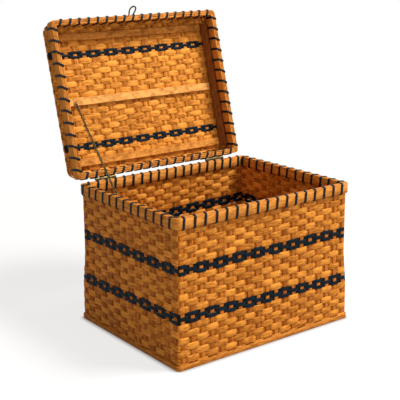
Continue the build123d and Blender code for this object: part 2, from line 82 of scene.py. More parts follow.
class Strips:
    """Flat strips gathered into one mesh, each with its own grain and tone."""

    def __init__(self, turn=None):
        self.verts, self.faces, self.grain, self.tone, self.edge = [], [], [], [], []
        self.turn = turn

    def add(self, points, normals, sides, half_w, half_t, tones, closed=False, crown=0.12):
        """A strip along points; normals face out of it and sides run across it. tones is one
        tone, or for each point the tone of its outer and of its inner face."""
        bevel = min(0.45, half_w * 0.3)
        flat, low = half_w - bevel, half_t - min(bevel, half_t * 0.6)
        ring = [
            (-flat, half_t), (0, half_t + crown), (flat, half_t), (half_w, low), (half_w, -low),
            (flat, -half_t), (0, -half_t - crown), (-flat, -half_t), (-half_w, -low), (-half_w, low),
        ]
        count, size, base = len(points), len(ring), len(self.verts)
        strip_id = random.random() * 50
        run = 0.0
        for index, (p, n, s) in enumerate(zip(points, normals, sides)):
            if index:
                run += (Vector(p) - Vector(points[index - 1])).length
            for across, out in ring:
                spot = [p[k] + s[k] * across + n[k] * out for k in range(3)]
                if self.turn:
                    spot = self.turn(*spot)
                self.verts.append([v * MM for v in spot])
                self.grain.append((run * MM, across * MM, strip_id))
                self.edge.append(abs(across) / half_w)
                self.tone.append(tones if isinstance(tones, float) else tones[index][out < 0])
        steps = count if closed else count - 1
        for index in range(steps):
            here, there = base + index * size, base + (index + 1) % count * size
            for k in range(size):
                after = (k + 1) % size
                self.faces.append((here + k, here + after, there + after, there + k))
        if not closed:
            self.faces.append([base + k for k in range(size)][::-1])
            self.faces.append([base + (count - 1) * size + k for k in range(size)])

    def build(self, name, material, body, *nodes):
        mesh = bpy.data.meshes.new(name)
        mesh.from_pydata(self.verts, [], self.faces)
        for label, kind, field, values in (
            ("grain", "FLOAT_VECTOR", "vector", self.grain), ("tone", "FLOAT", "value", self.tone),
            ("edge", "FLOAT", "value", self.edge),
        ):
            attribute = mesh.attributes.new(label, kind, "POINT")
            attribute.data.foreach_set(field, np.array(values, dtype=np.float32).ravel())
        work = bmesh.new()
        work.from_mesh(mesh)
        bmesh.ops.recalc_face_normals(work, faces=work.faces)
        work.to_mesh(mesh)
        work.free()
        hang(mesh, material, body, nodes)


class Wires:
    """Round wires gathered into one mesh."""

    def __init__(self):
        self.verts, self.faces = [], []

    def add(self, points, across, radius, closed):
        """A wire along points; across is a direction square to the plane it lies in."""
        base, count, sides = len(self.verts), len(points), 8
        for index, point in enumerate(points):
            before = points[index - 1] if closed or index else points[0]
            after = points[(index + 1) % count] if closed or index < count - 1 else points[index]
            out = (after - before).normalized().cross(across)
            for m in range(sides):
                turn = 2 * pi * m / sides
                spot = point + (out * cos(turn) + across * sin(turn)) * radius
                self.verts.append([v * MM for v in spot])
        for index in range(count if closed else count - 1):
            here, there = base + index * sides, base + (index + 1) % count * sides
            for m in range(sides):
                after = (m + 1) % sides
                self.faces.append((here + m, here + after, there + after, there + m))

    def build(self, name, material, body, *nodes):
        mesh = bpy.data.meshes.new(name)
        mesh.from_pydata(self.verts, [], self.faces)
        hang(mesh, material, body, nodes)


def plan_point(run, half_x, half_y, corner):
    """A point and its outward normal on a rounded rectangle, run mm from its front left."""
    straight = (2 * (half_x - corner), 2 * (half_y - corner)) * 2
    arc = pi * corner / 2
    run %= plan_length(half_x, half_y, corner)
    for side, length in enumerate(straight):
        turn = side * pi / 2
        along, out = (cos(turn), sin(turn)), (sin(turn), -cos(turn))
        reach = (half_x, half_y)[side % 2] - corner
        depth = (half_y, half_x)[side % 2] - corner
        if run <= length:
            step, far = run - reach, depth + corner
            return (along[0] * step + out[0] * far, along[1] * step + out[1] * far), out
        run -= length
        if run <= arc:
            bend = run / corner + turn
            way = (sin(bend), -cos(bend))
            return (along[0] * reach + out[0] * depth + way[0] * corner,
                    along[1] * reach + out[1] * depth + way[1] * corner), way
        run -= arc
    raise ValueError(run)


def plan_length(half_x, half_y, corner):
    """The way round a rounded rectangle."""
    return 4 * (half_x - corner) + 4 * (half_y - corner) + 2 * pi * corner


def plan_runs(xs, ys, half_x, half_y, corner):
    """Runs of the crossings: xs along the front and the back, ys along the two sides."""
    arc = pi * corner / 2
    wide, deep = 2 * (half_x - corner), 2 * (half_y - corner)
    runs = [wide / 2 + x for x in xs]
    runs += [wide + arc + deep / 2 + y for y in ys]
    runs += [wide + deep + 2 * arc + wide / 2 - x for x in reversed(xs)]
    runs += [2 * wide + deep + 3 * arc + deep / 2 - y for y in reversed(ys)]
    return runs, plan_length(half_x, half_y, corner)


def ease(t):
    """A smooth step from 0 to 1."""
    t = min(1.0, max(0.0, t))
    return t * t * (3 - 2 * t)


def swing(t, hold=0.29):
    """Share of the way from one side of the weave to the other between two crossings."""
    return ease((t - hold) / (1 - 2 * hold))


def pick_tones(count, spread, centre=0.5):
    """One tone for each crossing, so that neighbouring bricks differ."""
    return [centre + random.uniform(-spread, spread) for _ in range(count)]


def woven(stops, signs, steps, amp, tail=0.0):
    """Runs, offsets and nearest crossings of a strip that is out or in at each of its stops."""
    marks = [(stops[0] - tail, amp * signs[0], 0)]
    for index, (here, after) in enumerate(zip(stops, stops[1:])):
        for step in range(steps):
            t = step / steps
            share = swing(t)
            off = amp * (signs[index] * (1 - share) + signs[index + 1] * share)
            marks.append((here + (after - here) * t, off, index + (t >= 0.5)))
    last = len(stops) - 1
    return marks + [(stops[-1], amp * signs[-1], last), (stops[-1] + tail, amp * signs[-1], last)]


# Materials
def group_socket(group, name, kind, way, default=None):
    socket = group.interface.new_socket(name=name, in_out=way, socket_type=kind)
    if default is not None:
        socket.default_value = default


def math_node(nodes, links, operation, *values):
    """The output of a Math node whose inputs are numbers or other nodes' outputs."""
    node = nodes.new("ShaderNodeMath")
    node.operation = operation
    for slot, value in zip(node.inputs, values):
        if isinstance(value, float):
            slot.default_value = value
        else:
            links.new(value, slot)
    return node.outputs[0]


def streaks(nodes, links, position, scale, detail):
    """Noise drawn out along the strip."""
    way, noise = nodes.new("ShaderNodeMapping"), nodes.new("ShaderNodeTexNoise")
    way.inputs["Scale"].default_value = scale
    noise.inputs["Scale"].default_value = 1.0
    noise.inputs["Detail"].default_value = detail
    links.new(position, way.inputs["Vector"])
    links.new(way.outputs["Vector"], noise.inputs["Vector"])
    return noise.outputs["Fac"]


def strip_grain_and_edge_shade_group():
    """Colour and height of split cane: long fibres, slow blotches, the strip's own tone and painted shade
    darkening its long edges.
    """
    group = bpy.data.node_groups.new("split_cane_fibres_and_edge_shade", "ShaderNodeTree")
    group_socket(group, "Dark", "NodeSocketColor", "INPUT", (0.4, 0.18, 0.05, 1))
    group_socket(group, "Light", "NodeSocketColor", "INPUT", (0.8, 0.45, 0.15, 1))
    group_socket(group, "Position", "NodeSocketVector", "INPUT")
    group_socket(group, "Tone", "NodeSocketFloat", "INPUT", 0.5)
    group_socket(group, "Edge", "NodeSocketFloat", "INPUT", 0.0)
    group_socket(group, "Color", "NodeSocketColor", "OUTPUT")
    group_socket(group, "Height", "NodeSocketFloat", "OUTPUT")
    nodes, links = group.nodes, group.links
    inp, out = nodes.new("NodeGroupInput"), nodes.new("NodeGroupOutput")
    fibre = streaks(nodes, links, inp.outputs["Position"], (90, 800, 1), 3.0)
    blotch = streaks(nodes, links, inp.outputs["Position"], (55, 270, 1), 2.0)
    fibre_share = math_node(nodes, links, "MULTIPLY_ADD", fibre, 2.0, -1.0)
    blotch_share = math_node(nodes, links, "MULTIPLY_ADD", blotch, 2.0, -1.0)
    both = math_node(nodes, links, "ADD", fibre_share, blotch_share)
    total = math_node(nodes, links, "ADD", both, inp.outputs["Tone"])
    total.node.use_clamp = True
    mix = nodes.new("ShaderNodeMix")
    mix.data_type = "RGBA"
    links.new(total, mix.inputs["Factor"])
    links.new(inp.outputs["Dark"], mix.inputs["A"])
    links.new(inp.outputs["Light"], mix.inputs["B"])
    # Painted shade: the colour darkens towards each strip's long edges, where it meets its neighbours
    edge_painted_shade = nodes.new("ShaderNodeMapRange")
    edge_painted_shade.inputs["From Min"].default_value = 0.8
    edge_painted_shade.inputs["From Max"].default_value = 1.0
    edge_painted_shade.inputs["To Max"].default_value = 0.3
    shade = nodes.new("ShaderNodeMix")
    shade.data_type = "RGBA"
    shade.blend_type = "MULTIPLY"
    shade.inputs["B"].default_value = (0.42, 0.26, 0.14, 1)
    links.new(inp.outputs["Edge"], edge_painted_shade.inputs["Value"])
    links.new(edge_painted_shade.outputs["Result"], shade.inputs["Factor"])
    links.new(mix.outputs["Result"], shade.inputs["A"])
    links.new(shade.outputs["Result"], out.inputs["Color"])
    links.new(fibre, out.inputs["Height"])
    return group


FIBRES = strip_grain_and_edge_shade_group()


def blank_material(name, roughness, shine=None):
    """A new material with its nodes, links and shader."""
    material = bpy.data.materials.new(name)
    material.use_nodes = True
    tree = material.node_tree
    shader = tree.nodes["Principled BSDF"]
    shader.inputs["Roughness"].default_value = roughness
    if shine is not None:
        shader.inputs["Specular IOR Level"].default_value = shine
    return material, tree.nodes, tree.links, shader


def raise_surface(nodes, links, height, strength, depth, shader):
    """Fine relief from a height."""
    relief = nodes.new("ShaderNodeBump")
    relief.inputs["Strength"].default_value = strength
    relief.inputs["Distance"].default_value = depth
    links.new(height, relief.inputs["Height"])
    links.new(relief.outputs["Normal"], shader.inputs["Normal"])


def mottle(nodes, links, scale, detail, span, dark, light, shader):
    """Blotches between two colours; span is the part of the noise that they share out."""
    place, noise = nodes.new("ShaderNodeTexCoord"), nodes.new("ShaderNodeTexNoise")
    noise.inputs["Scale"].default_value = scale
    noise.inputs["Detail"].default_value = detail
    ramp = nodes.new("ShaderNodeValToRGB")
    for stop, position, color in zip(ramp.color_ramp.elements, span, (dark, light)):
        stop.position = position
        stop.color = (*color, 1)
    links.new(place.outputs["Object"], noise.inputs["Vector"])
    links.new(noise.outputs["Fac"], ramp.inputs["Fac"])
    links.new(ramp.outputs["Color"], shader.inputs["Base Color"])
    return noise.outputs["Fac"]


def cane_material(name, dark, light, roughness, shine=0.2, bump=0.4, source="strip", tone=0.5):
    """Split cane or wood: the fibres run along the strip, or along X or Z for a plain piece."""
    material, nodes, links, shader = blank_material(name, roughness, shine)
    fibres = nodes.new("ShaderNodeGroup")
    fibres.node_tree = FIBRES
    fibres.inputs["Dark"].default_value = (*dark, 1)
    fibres.inputs["Light"].default_value = (*light, 1)
    fibres.inputs["Tone"].default_value = tone
    if source == "strip":
        place = nodes.new("ShaderNodeAttribute")
        place.attribute_name = "grain"
        links.new(place.outputs["Vector"], fibres.inputs["Position"])
        # The tone attribute holds each strip's own tone, less painted shade where it dives under a crossing
        for label in ("Tone", "Edge"):
            own = nodes.new("ShaderNodeAttribute")
            own.attribute_name = label.lower()
            links.new(own.outputs["Fac"], fibres.inputs[label])
    else:
        place = nodes.new("ShaderNodeTexCoord")
        if source == "along_x":
            links.new(place.outputs["Object"], fibres.inputs["Position"])
        else:
            swap = nodes.new("ShaderNodeMapping")
            swap.inputs["Rotation"].default_value = (0, radians(90), 0)
            links.new(place.outputs["Object"], swap.inputs["Vector"])
            links.new(swap.outputs["Vector"], fibres.inputs["Position"])
    raise_surface(nodes, links, fibres.outputs["Height"], bump, 0.4 * MM, shader)
    links.new(fibres.outputs["Color"], shader.inputs["Base Color"])
    return material


def brass_material(name, dark, light, roughness):
    """Aged brass, dull and brighter in blotches."""
    material, nodes, links, shader = blank_material(name, roughness)
    shader.inputs["Metallic"].default_value = 0.85
    mottle(nodes, links, 260, 4, (0.35, 0.65), dark, light, shader)
    return material


def cord_material(name, dark, light):
    """Waxed flat cord: near black blue with a fine lay."""
    material, nodes, links, shader = blank_material(name, 0.5, 0.12)
    lay = mottle(nodes, links, 900, 2, (0, 1), dark, light, shader)
    raise_surface(nodes, links, lay, 0.3, 0.3 * MM, shader)
    return material


CANE = cane_material("woven_cane_weaver", (0.33, 0.10, 0.010), (0.78, 0.32, 0.05), 0.5, 0.06)
# Box stakes: darker and redder than the weavers and the lid's stakes, partly their own tone and partly
# painted shade for their recessed patches
STAKE = cane_material("woven_cane_stake_painted_shade", (0.24, 0.062, 0.006), (0.55, 0.18, 0.024), 0.5, 0.06)
LID_STAKE = cane_material("lid_cane_stake", (0.30, 0.09, 0.009), (0.68, 0.26, 0.04), 0.5, 0.06)
HOOP = cane_material("rim_hoop_cane", (0.36, 0.12, 0.014), (0.74, 0.31, 0.06), 0.5, 0.06)
NAVY = cane_material("navy_dyed_cane", (0.002, 0.005, 0.008), (0.006, 0.014, 0.022), 0.5, 0.06)
BATTEN = cane_material(
    "pale_batten_wood", (0.42, 0.16, 0.03), (0.78, 0.38, 0.10), 0.5, 0.15, 0.25, "along_x", 0.6
)
# Front and rear battens: a darker copy of the batten wood, cane-coloured, and on the front batten also
# painted shade for the lid front wall's shadow
RAIL = cane_material(
    "cane_coloured_batten_painted_shade", (0.33, 0.11, 0.015), (0.70, 0.29, 0.055), 0.5, 0.1, 0.25, "along_x", 0.55
)
# End laths: dark wood, painted shade for the shade inside the lid's end walls
LATH = cane_material(
    "lath_wood_painted_shade", (0.14, 0.04, 0.008), (0.32, 0.11, 0.022), 0.5, 0.15, 0.25, "along_z", 0.5
)
CORD = cord_material("navy_waxed_cord", (0.002, 0.005, 0.008), (0.006, 0.014, 0.022))
BRASS = brass_material("aged_brass", (0.035, 0.025, 0.008), (0.17, 0.12, 0.045), 0.45)
LOOP_BRASS = brass_material("dark_loop_brass", (0.02, 0.011, 0.003), (0.08, 0.05, 0.016), 0.55)

# Box wall
FRONT_REACH, FRONT_GAPS, SIDE_REACH, SIDE_GAPS = 213, 18, 164, 13
FRONT_XS = [FRONT_REACH * (2 * i / FRONT_GAPS - 1) for i in range(FRONT_GAPS + 1)]
SIDE_YS = [SIDE_REACH * (2 * i / SIDE_GAPS - 1) for i in range(SIDE_GAPS + 1)]
# How far the rows have crept up or down at the box's four corners, at a few heights
CREEP_Z = (13, 102, 199, 281)
CREEP = {"near": (0, 4, 2, 0), "right": (0, -8, -3, 0), "left": (0, -5, -5, 0), "far": (0, 0, 7, 0)}
# Between the corners the rows also wave a little, less towards the foot and the rim
WAVE_H, LOOSE_RUN = 0.9, 30


def wall_out(z):
    """How far the wall's outer face stands beyond the rim's at height z."""
    zs, outs = zip(*WALL_LEVELS)
    return float(np.interp(z, zs, outs))


def row_rise(x, y, z):
    """How far a row has crept up or down at a place, as the photographed rows have."""
    corners = ("near", "right", "left", "far")
    near, right, left, far = (float(np.interp(z, CREEP_Z, CREEP[corner])) for corner in corners)
    across, back = (x + BOX_W / 2) / BOX_W, (y + BOX_D / 2) / BOX_D
    creep = (near * (1 - across) + right * across) * (1 - back) + (left * (1 - across) + far * across) * back
    loose = max(0.0, min(1.0, (z - CREEP_Z[0]) / LOOSE_RUN, (CREEP_Z[-1] - z) / LOOSE_RUN))
    return creep + WAVE_H * loose * sin(x / 31 + y / 43 + z / 27)


def plan_at(z):
    """Half sizes and corner of the wall's middle plane at height z."""
    out = wall_out(z) - WALL_T / 2
    return BOX_W / 2 + out, BOX_D / 2 + out, WALL_CORNER


def crossing_tones_with_painted_shade(tone, off, amp):
    """Tones of a strip's outer and inner face, with painted shade: each darkens as the strip
    dives under what crosses it on that face."""
    dive = (1 - off / amp) / 2
    return tone - DIVE_SHADE * dive ** 3, tone - DIVE_SHADE * (1 - dive) ** 3


def box_row(strips, row, z, height, spread, centre=0.5):
    """One weaver round the box, out over one stake and in behind the next."""
    half_x, half_y, corner = plan_at(z)
    runs, total = plan_runs(FRONT_XS, SIDE_YS, half_x, half_y, corner)
    slope = (wall_out(z + 4) - wall_out(z - 4)) / 8
    tones = pick_tones(len(runs), spread, centre)
    points, normals, sides, shades = [], [], [], []
    wobble, drift_h, steps = random.uniform(0, 6), 0.2, 8
    for index, run in enumerate(runs):
        after = runs[index + 1] if index + 1 < len(runs) else runs[0] + total
        out = 1 if (index + row) % 2 == 0 else -1
        for step in range(steps):
            t = step / steps
            (x, y), way = plan_point(run + (after - run) * t, half_x, half_y, corner)
            off = AMP * out * (1 - 2 * swing(t))
            drift = drift_h * sin(index * 0.9 + wobble)
            points.append((x + way[0] * off, y + way[1] * off, z + row_rise(x, y, z) + drift))
            lean = Vector((way[0] * slope, way[1] * slope, 1)).normalized()
            normals.append((way[0], way[1], -slope))
            sides.append(lean)
            which = index if t < 0.5 else (index + 1) % len(runs)
            shades.append(crossing_tones_with_painted_shade(tones[which], off, AMP))
    strips.add(points, normals, sides, height / 2 + ROW_OVERLAP, WEAVER_HALF_T, shades, closed=True)


BAND_HIGH, BAND_LOW, BAND_ROW = 197.5, 101.0, 7.1
# Rows as order from the rim down, height of the middle, width and kind. The first is clasped by
# the rim and the last stands behind the base strip.
BOX_ROWS = [(-1, 289.5, 16.5, "upper")]
for label, top, bottom, first in (
    ("upper", CREEP_Z[-1], BAND_HIGH + 1.5 * BAND_ROW, 0),
    ("middle", BAND_HIGH - 1.5 * BAND_ROW, BAND_LOW + 1.5 * BAND_ROW, 9),
    ("lower", BAND_LOW - 1.5 * BAND_ROW, CREEP_Z[0], 18),
):
    pitch = (top - bottom) / 6
    BOX_ROWS += [(first + k, top - (k + 0.5) * pitch, pitch, label) for k in range(6)]
BOX_ROWS += [(6 + k, BAND_HIGH + (1 - k) * BAND_ROW, BAND_ROW, "upper_band") for k in range(3)]
BOX_ROWS += [(15 + k, BAND_LOW + (1 - k) * BAND_ROW, BAND_ROW, "lower_band") for k in range(3)]
BOX_ROWS += [(24, 7.3, 12.2, "lower")]
BOX_ROWS.sort()


def box_stakes():
    """The upright stakes, leaning with the wall and pressed in and out by the weavers."""
    strips = Strips()
    heights = [row[1] for row in BOX_ROWS][::-1]
    orders = [row[0] for row in BOX_ROWS][::-1]
    foot, head, marks = 2, 296, 118
    for index in range(2 * (len(FRONT_XS) + len(SIDE_YS))):
        tone = 0.5 + random.uniform(-0.25, 0.25)
        points, normals, sides = [], [], []
        for z in np.linspace(foot, head, marks):
            half_x, half_y, corner = plan_at(z)
            runs, _ = plan_runs(FRONT_XS, SIDE_YS, half_x, half_y, corner)
            (x, y), way = plan_point(runs[index], half_x, half_y, corner)
            place = float(np.interp(z - row_rise(x, y, z), heights, orders))
            off = -STAKE_SWING * cos(pi * (place + index))
            points.append((x + way[0] * off, y + way[1] * off, z))
            normals.append((way[0], way[1], 0))
            sides.append((-way[1], way[0], 0))
        strips.add(points, normals, sides, STAKE_HALF_W, STAKE_HALF_T, tone)
    return strips


for label, material, replaced in (
    ("upper", CANE, ["box_wall"]), ("middle", CANE, []), ("lower", CANE, []),
    ("upper_band", NAVY, ["box_upper_band"]), ("lower_band", NAVY, ["box_lower_band"]),
):
    weavers = Strips()
    for order, z, height, kind in BOX_ROWS:
        if kind == label:
            box_row(weavers, order, z, height, TONE_SPREAD, 0.56)
    weavers.build(f"box_{label}_weavers", material, "box", *replaced)
box_stakes().build("box_stakes", STAKE, "box")


# Rims
def flat_ring(strips, half_x, half_y, corner, centre_y, z, half_w, half_t, tone):
    """A flat strip on edge round a rounded rectangle."""
    points, normals, sides, pace = [], [], [], 3.0
    for step in range(ceil(plan_length(half_x, half_y, corner) / pace)):
        (x, y), way = plan_point(step * pace, half_x, half_y, corner)
        points.append((x, y + centre_y, z))
        normals.append((way[0], way[1], 0))
        sides.append((0, 0, 1))
    strips.add(points, normals, sides, half_w, half_t, tone, closed=True, crown=0.25)


def rim(prefix, body, width, depth, centre_y, z_hoop, z_cane, turn):
    """Both hoops of a rim and the cane between them."""
    for label, inset, thick, half_w, slack, tone, node in (
        ("outer_rim_strip", 0, OUTER_T, HOOP_H / 2, 0.2, 0.62, "outer_hoop"),
        ("inner_rim_strip", OUTER_T + WALL_T, INNER_T, HOOP_H / 2, 0.2, 0.62, "inner_hoop"),
        ("rim_filler", OUTER_T, WALL_T, CANE_H / 2, 0.15, 0.45, "rim_cane"),
    ):
        ring, middle = Strips(turn), inset + thick / 2
        z = z_cane if node == "rim_cane" else z_hoop
        flat_ring(ring, width / 2 - middle, depth / 2 - middle, RIM_CORNER - middle, centre_y,
                  z, half_w, thick / 2 - slack, tone)
        ring.build(f"{prefix}_{label}", HOOP, body, f"{prefix}_{node}")


rim("box", "box", BOX_W, BOX_D, 0, BOX_H - HOOP_H / 2, BOX_H - CANE_H / 2, None)
rim("lid", "lid", LID_W, LID_D, LID_Y, HOOP_H / 2, CANE_H / 2, lid_point)
FOOT_OUT, FOOT_CORNER, FOOT_Z, FOOT_HALF_W, FOOT_HALF_T = 1.5, 6.0, 5.5, 5.4, 0.8
foot = Strips()
flat_ring(foot, BOX_W / 2 + FOOT_OUT, BOX_D / 2 + FOOT_OUT, FOOT_CORNER, 0, FOOT_Z,
          FOOT_HALF_W, FOOT_HALF_T, 0.3)
foot.build("base_foot_strip", HOOP, "box", "base_strip")


# Lashing: each turn climbs the outer hoop, crosses the rim and goes down the inner hoop,
# moving along the rim all the way. Each point holds the way along, the way in, the height
# over the rim's edge and the way it faces.
TURN_PATH = [
    (-4.7, 3.0, -22.6, (-0.3, -1.0)), (-4.7, 0.6, -22.2, (-0.7, -0.7)), (-4.6, -0.9, -20.5, (-1.0, 0.0)),
    (-3.7, -0.9, -11.0, (-1.0, 0.0)), (-2.8, -0.9, -1.8, (-1.0, 0.0)), (-2.6, -0.5, -0.4, (-0.7, 0.7)),
    (-2.3, 0.9, 0.5, (-0.1, 1.0)), (0.0, RIM_T / 2, 0.6, (0.0, 1.0)), (2.3, RIM_T - 0.9, 0.5, (0.1, 1.0)),
    (2.6, RIM_T + 0.5, -0.4, (0.7, 0.7)), (2.8, RIM_T + 0.9, -1.8, (1.0, 0.0)),
    (3.7, RIM_T + 0.9, -11.0, (1.0, 0.0)), (4.6, RIM_T + 0.9, -20.5, (1.0, 0.0)),
    (4.7, RIM_T - 0.6, -22.2, (0.7, -0.7)), (4.7, RIM_T - 3.0, -22.6, (0.3, -1.0)),
]
# Way along and way in for the front, right, back and left side, and for each of them how many
# turns it has and how far the end ones stand from the corner
RIM_SIDES = (((1, 0), (0, 1)), ((0, 1), (-1, 0)), ((-1, 0), (0, -1)), ((0, -1), (1, 0)))
BOX_TURNS = ((17, 19.4), (13, 19.4), (19, 19.8), (13, 19.4))
LID_TURNS = ((18, 22.95), (13, 19.6), (18, 22.95), (13, 19.6))
CORD_HALF_W, CORD_HALF_T = 2.5, 1.0


def turn_places(length, turns):
    """Where the turns of one side stand, from the middle of that side."""
    count, end = turns
    pitch = (length - 2 * end) / (count - 1)
    return [(index - (count - 1) / 2) * pitch for index in range(count)]


def lash(prefix, body, size, centre_y, side_turns, edge, up, turn):
    """All the turns of one rim. up is 1 for the box, whose edge is its top, and -1 for the lid."""
    cords = Strips(turn)
    for number, (along, inwards) in enumerate(RIM_SIDES):
        length, reach = size[number % 2], size[1 - number % 2] / 2
        for step in turn_places(length, side_turns[number]):
            tilt = random.uniform(0.75, 1.25)
            shift = random.uniform(-0.5, 0.5)
            points, normals = [], []
            for a, i, v, (face_in, face_up) in TURN_PATH:
                run = step + shift + a * up * tilt
                points.append((
                    along[0] * run + inwards[0] * (i - reach),
                    along[1] * run + inwards[1] * (i - reach) + centre_y,
                    edge + up * v,
                ))
                facing = Vector((inwards[0] * face_in, inwards[1] * face_in, up * face_up))
                normals.append(facing.normalized())
            sides = []
            for index, normal in enumerate(normals):
                after, before = points[min(index + 1, len(points) - 1)], points[max(index - 1, 0)]
                sides.append(normal.cross(Vector(after) - Vector(before)).normalized())
            tone = random.uniform(0.3, 0.7)
            cords.add(points, normals, sides, CORD_HALF_W, CORD_HALF_T, tone, crown=0.2)
    cords.build(f"{prefix}_lashing_cord", CORD, body, f"{prefix}_lashing")


lash("box", "box", (BOX_W, BOX_D), 0, BOX_TURNS, BOX_H, 1, None)
lash("lid", "lid", (LID_W, LID_D), LID_Y, LID_TURNS, 0, -1, lid_point)

# Floor of the box
FLOOR_Z, FLOOR_AMP, FLOOR_ROWS, FLOOR_ROW, FLOOR_STAKES, FLOOR_STAKE = 2.5, 0.85, 27, 12.8, 18, 24.0
FLOOR_REACH_X, FLOOR_REACH_Y = 222, 173.5


def weave_floor():
    """Rows across the floor, over and under the stakes that run from front to back."""
    strips, pace = Strips(), 3
    for row in range(FLOOR_ROWS):
        y = (row - (FLOOR_ROWS - 1) / 2) * FLOOR_ROW
        points = []
        for x in range(-FLOOR_REACH_X, FLOOR_REACH_X + pace, pace):
            stake, share = divmod(x / FLOOR_STAKE, 1)
            out = 1 if (stake + row) % 2 == 0 else -1
            points.append((x, y, FLOOR_Z + FLOOR_AMP * out * (1 - 2 * swing(share))))
        up, across = [(0, 0, 1)] * len(points), [(0, 1, 0)] * len(points)
        strips.add(points, up, across, 6.1, WEAVER_HALF_T, 0.5 + random.uniform(-0.25, 0.25))
    marks = 40
    for stake in range(FLOOR_STAKES):
        x = (stake - (FLOOR_STAKES - 1) / 2) * FLOOR_STAKE
        points = [(x, y, FLOOR_Z) for y in np.linspace(-FLOOR_REACH_Y, FLOOR_REACH_Y, marks)]
        strips.add(points, [(0, 0, 1)] * marks, [(1, 0, 0)] * marks, 6.2, 0.35, 0.4)
    strips.build("box_floor_weave", CANE, "box", "box_floor")


weave_floor()

# Lid: rows run across it and down its end walls, stakes run from front to back and down
# the other two walls, and rounds go right round the walls. The panel's middle plane stands
# LID_MID_H above the lip, and the walls' middle planes stand the swells beyond the rim.
LID_MID_H, ARC_R, END_SWELL, FRONT_SWELL = 45.5, 13.0, 2.0, -4.0
HALF_X, HALF_Y = LID_W / 2, LID_D / 2
FLAT_X, FLAT_Y = HALF_X + END_SWELL - ARC_R, HALF_Y + FRONT_SWELL - ARC_R
ROUND_RUNS = (5.2, 16.0, 26.8)
STAKES, LID_STAKE_GAP = 18, 23.2
LID_STAKE_XS = [LID_STAKE_GAP * (k - (STAKES - 1) / 2) for k in range(STAKES)]
WALL_DROP, TUCK_DROP, TAIL, LID_CORNER = 24.0, 11.5, 9.0, 5.0
LID_ROW, LID_BAND_ROW = 12.46, 5.2
FRONT_BAND_Y, PANEL_Y, REAR_BAND_Y = -103.8, -88.2, 98.7
FRONT_EDGES = (-151.5, -140.5, -128.0, -116.0, FRONT_BAND_Y)
BACK_EDGES = (114.3, 124.0, 133.6, 147.2, 159.5)


def lid_profile(run, half, swell):
    """Distance from the middle, height and outward normal, run mm along the lid's section.
    The wall's middle plane stands swell mm beyond the rim and is tucked in between the hoops."""
    side, run = (1, run) if run >= 0 else (-1, -run)
    flat = half + swell - ARC_R
    if run <= flat:
        return side * run, LID_MID_H, (0.0, 1.0)
    bend = min((run - flat) / ARC_R, pi / 2)
    if bend < pi / 2:
        out, down = ARC_R * sin(bend), ARC_R * (1 - cos(bend))
        return side * (flat + out), LID_MID_H - down, (side * sin(bend), cos(bend))
    drop = min(run - flat - ARC_R * pi / 2, WALL_DROP)
    back = (swell + OUTER_T + WALL_T / 2) * ease(drop / TUCK_DROP)
    return side * (half + swell - back), LID_MID_H - ARC_R - drop, (side * 1.0, 0.0)


def lid_rows():
    """Rows as order, near edge, far edge and kind, from the lid's front to its back."""
    rows = []
    for first, edges in ((-4, FRONT_EDGES), (21, BACK_EDGES)):
        rows += [(first + k, near, far, "cane") for k, (near, far) in enumerate(zip(edges, edges[1:]))]
    for first, start, width, count, kind in (
        (0, FRONT_BAND_Y, LID_BAND_ROW, 3, "front_band"), (3, PANEL_Y, LID_ROW, 15, "cane"),
        (18, REAR_BAND_Y, LID_BAND_ROW, 3, "rear_band"),
    ):
        rows += [(first + k, start + k * width, start + (k + 1) * width, kind) for k in range(count)]
    return sorted(rows)


LID_ROWS = lid_rows()
# The rounds take each band as one crossing, at its middle row
ROUND_ROWS = [row for row in LID_ROWS if row[3] == "cane" or row[0] in (1, 19)]
ROUND_YS = [(near + far) / 2 - LID_Y for _, near, far, _ in ROUND_ROWS]
ROUND_INDEX = {}
for order, near, far, kind in LID_ROWS:
    middle = (near + far) / 2 - LID_Y
    ROUND_INDEX[order] = min(range(len(ROUND_YS)), key=lambda i: abs(ROUND_YS[i] - middle))
CROSSINGS = len(ROUND_YS)


def row_sign(order, stake):
    """1 where the row passes outside the stake, -1 where it passes inside."""
    return 1 if (order + stake) % 2 else -1


def round_sign(number, index):
    """The same for a round at its crossing index, counted from the front left corner."""
    return 1 if (index + number) % 2 == 0 else -1


def lid_row(strips, order, near, far, centre):
    """One row across the lid and down both end walls."""
    here = ROUND_INDEX[order]
    left = [-round_sign(n, 2 * STAKES + 2 * CROSSINGS - 1 - here) for n in range(3)]
    right = [-round_sign(n, STAKES + here) for n in range(3)]
    stops = [-FLAT_X - run for run in ROUND_RUNS[::-1]] + LID_STAKE_XS + [FLAT_X + run for run in ROUND_RUNS]
    signs = left[::-1] + [row_sign(order, stake) for stake in range(STAKES)] + right
    tones = pick_tones(len(stops), TONE_SPREAD, centre)
    points, normals, shades = [], [], []
    for run, off, nearest in woven(stops, signs, 8, AMP, TAIL):
        d, h, n = lid_profile(run, HALF_X, END_SWELL)
        points.append((d + n[0] * off, (near + far) / 2, h + n[1] * off))
        normals.append((n[0], 0, n[1]))
        shades.append(crossing_tones_with_painted_shade(tones[nearest], off, AMP))
    half_w = (far - near) / 2 + ROW_OVERLAP
    strips.add(points, normals, [(0, 1, 0)] * len(points), half_w, WEAVER_HALF_T, shades)


